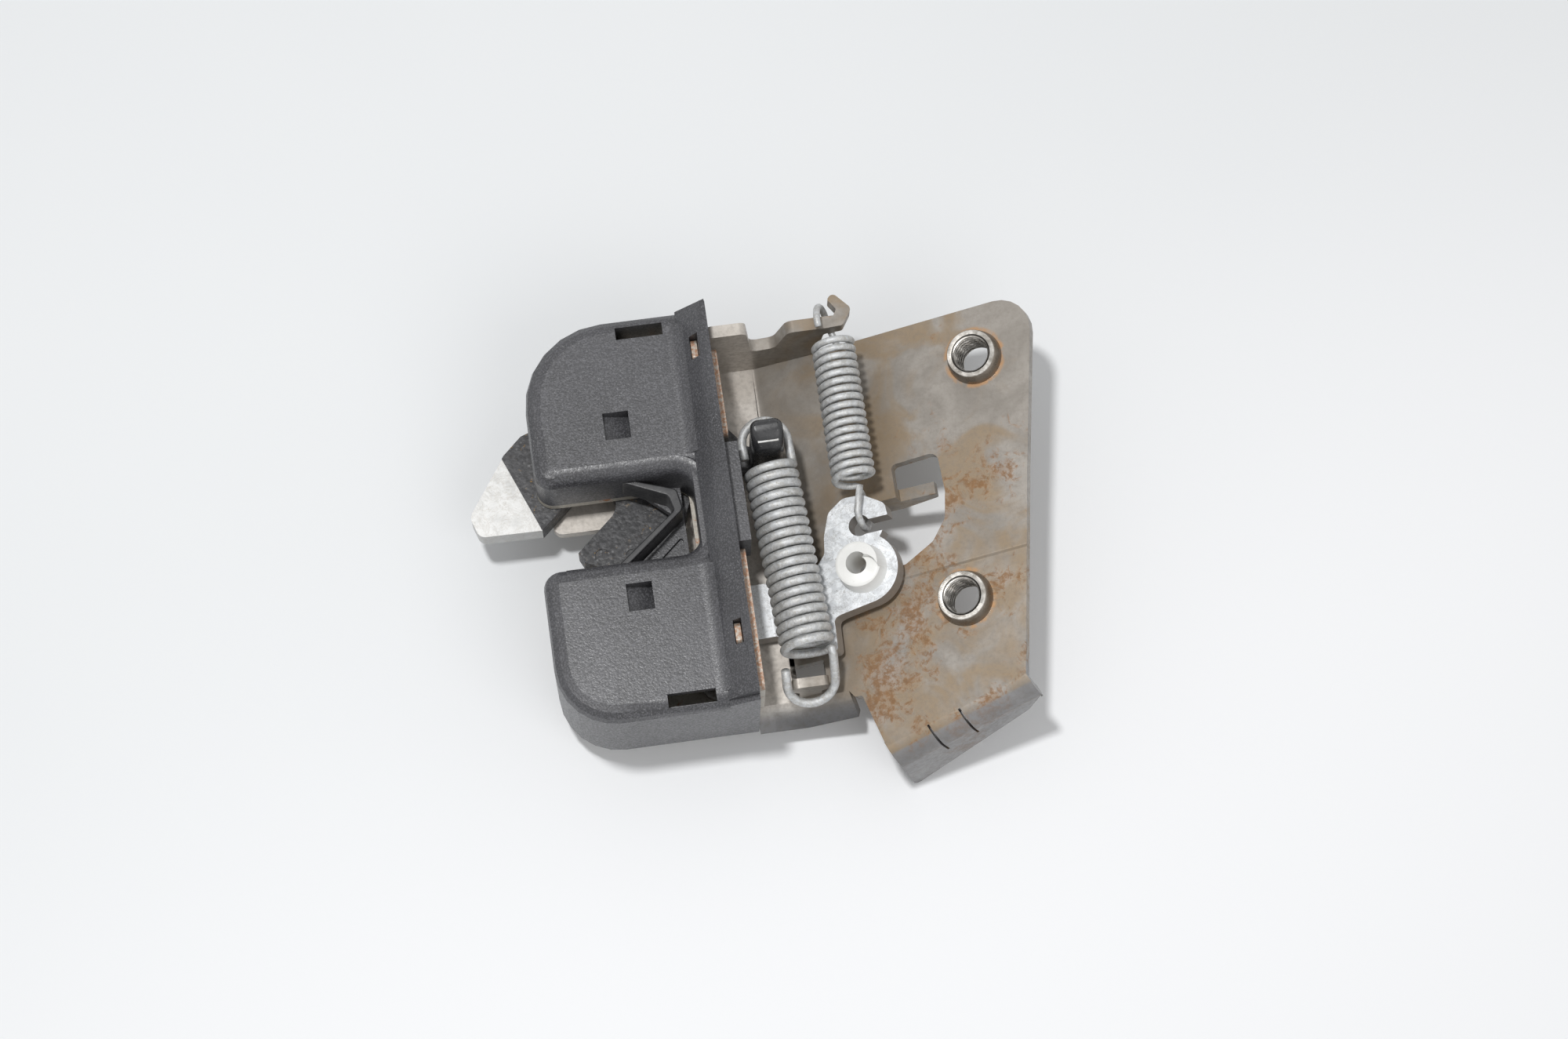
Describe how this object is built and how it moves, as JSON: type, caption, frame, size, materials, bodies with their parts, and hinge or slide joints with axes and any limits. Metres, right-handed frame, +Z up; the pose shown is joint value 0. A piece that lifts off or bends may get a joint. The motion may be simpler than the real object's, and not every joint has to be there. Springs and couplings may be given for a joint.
{
  "type": "seat backrest lock",
  "caption": "Seat backrest lock: a rotary claw and spring loaded pawl lever between steel plates, with a plastic cover and an angled fixing wing.",
  "frame": {"origin": "axis of the seated striker where it crosses the top face of the base plate", "axes": "+X along the striker slot towards the fixing wing, +Y across the slot towards the claw's pivot, +Z up through the plates towards the cover, along both pivots"},
  "size_m": [0.1167, 0.095, 0.0415],
  "materials": {
    "base_plate": "grey-brown zinc lacquer with orange rust blotches",
    "upper_collar": "bare turned steel",
    "lower_collar": "bare turned steel",
    "front_plate": "beige grey lacquered steel with a rusty edge",
    "cover": "dark charcoal moulding with fine sparkly grain",
    "striker_buffer": "smooth black rubber",
    "claw_plate": "zinc plated steel with rounded edges",
    "claw_overmould": "black moulding with coarse grain",
    "post_sleeve": "smooth black plastic",
    "claw_rivet": "zinc plated steel",
    "claw_washer": "natural plastic",
    "pawl_lever": "bright zinc plate with dark specks",
    "rod_bush": "milky white plastic",
    "pawl_rivet": "zinc plated steel",
    "pawl_washer": "natural plastic",
    "stop_rivet": "zinc plated steel",
    "spacer_rivet": "zinc plated steel",
    "main_spring": "dull galvanised spring wire",
    "return_spring": "dull galvanised spring wire"
  },
  "bodies": {
    "frame": {"base_plate": "base_plate", "upper_collar": "upper_collar", "lower_collar": "lower_collar", "front_plate": "front_plate", "cover": "cover", "striker_buffer": "striker_buffer", "claw_rivet": "claw_rivet", "claw_washer": "claw_washer", "pawl_rivet": "pawl_rivet", "pawl_washer": "pawl_washer", "stop_rivet": "stop_rivet", "spacer_rivet": "spacer_rivet", "main_spring": "main_spring", "return_spring": "return_spring"},
    "claw": {"claw_plate": "claw_plate", "claw_overmould": "claw_overmould", "post_sleeve": "post_sleeve"},
    "pawl": {"pawl_lever": "pawl_lever", "rod_bush": "rod_bush"}
  },
  "joints": [
    {"name": "claw_turn", "type": "hinge", "parent": "frame", "child": "claw", "pos_m": [0, 0.024, 0.0033], "axis": [0, 0, 1], "range_deg": [0, 38], "stiffness_Nm_per_rad": 0.3, "springref_deg": -17.19, "deforming": ["main_spring"]},
    {"name": "pawl_turn", "type": "hinge", "parent": "frame", "child": "pawl", "pos_m": [-0.004, -0.017, 0.003], "axis": [0, 0, 1], "range_deg": [-6, 0], "stiffness_Nm_per_rad": 0.3, "springref_deg": 17.19, "deforming": ["return_spring"]}
  ]
}
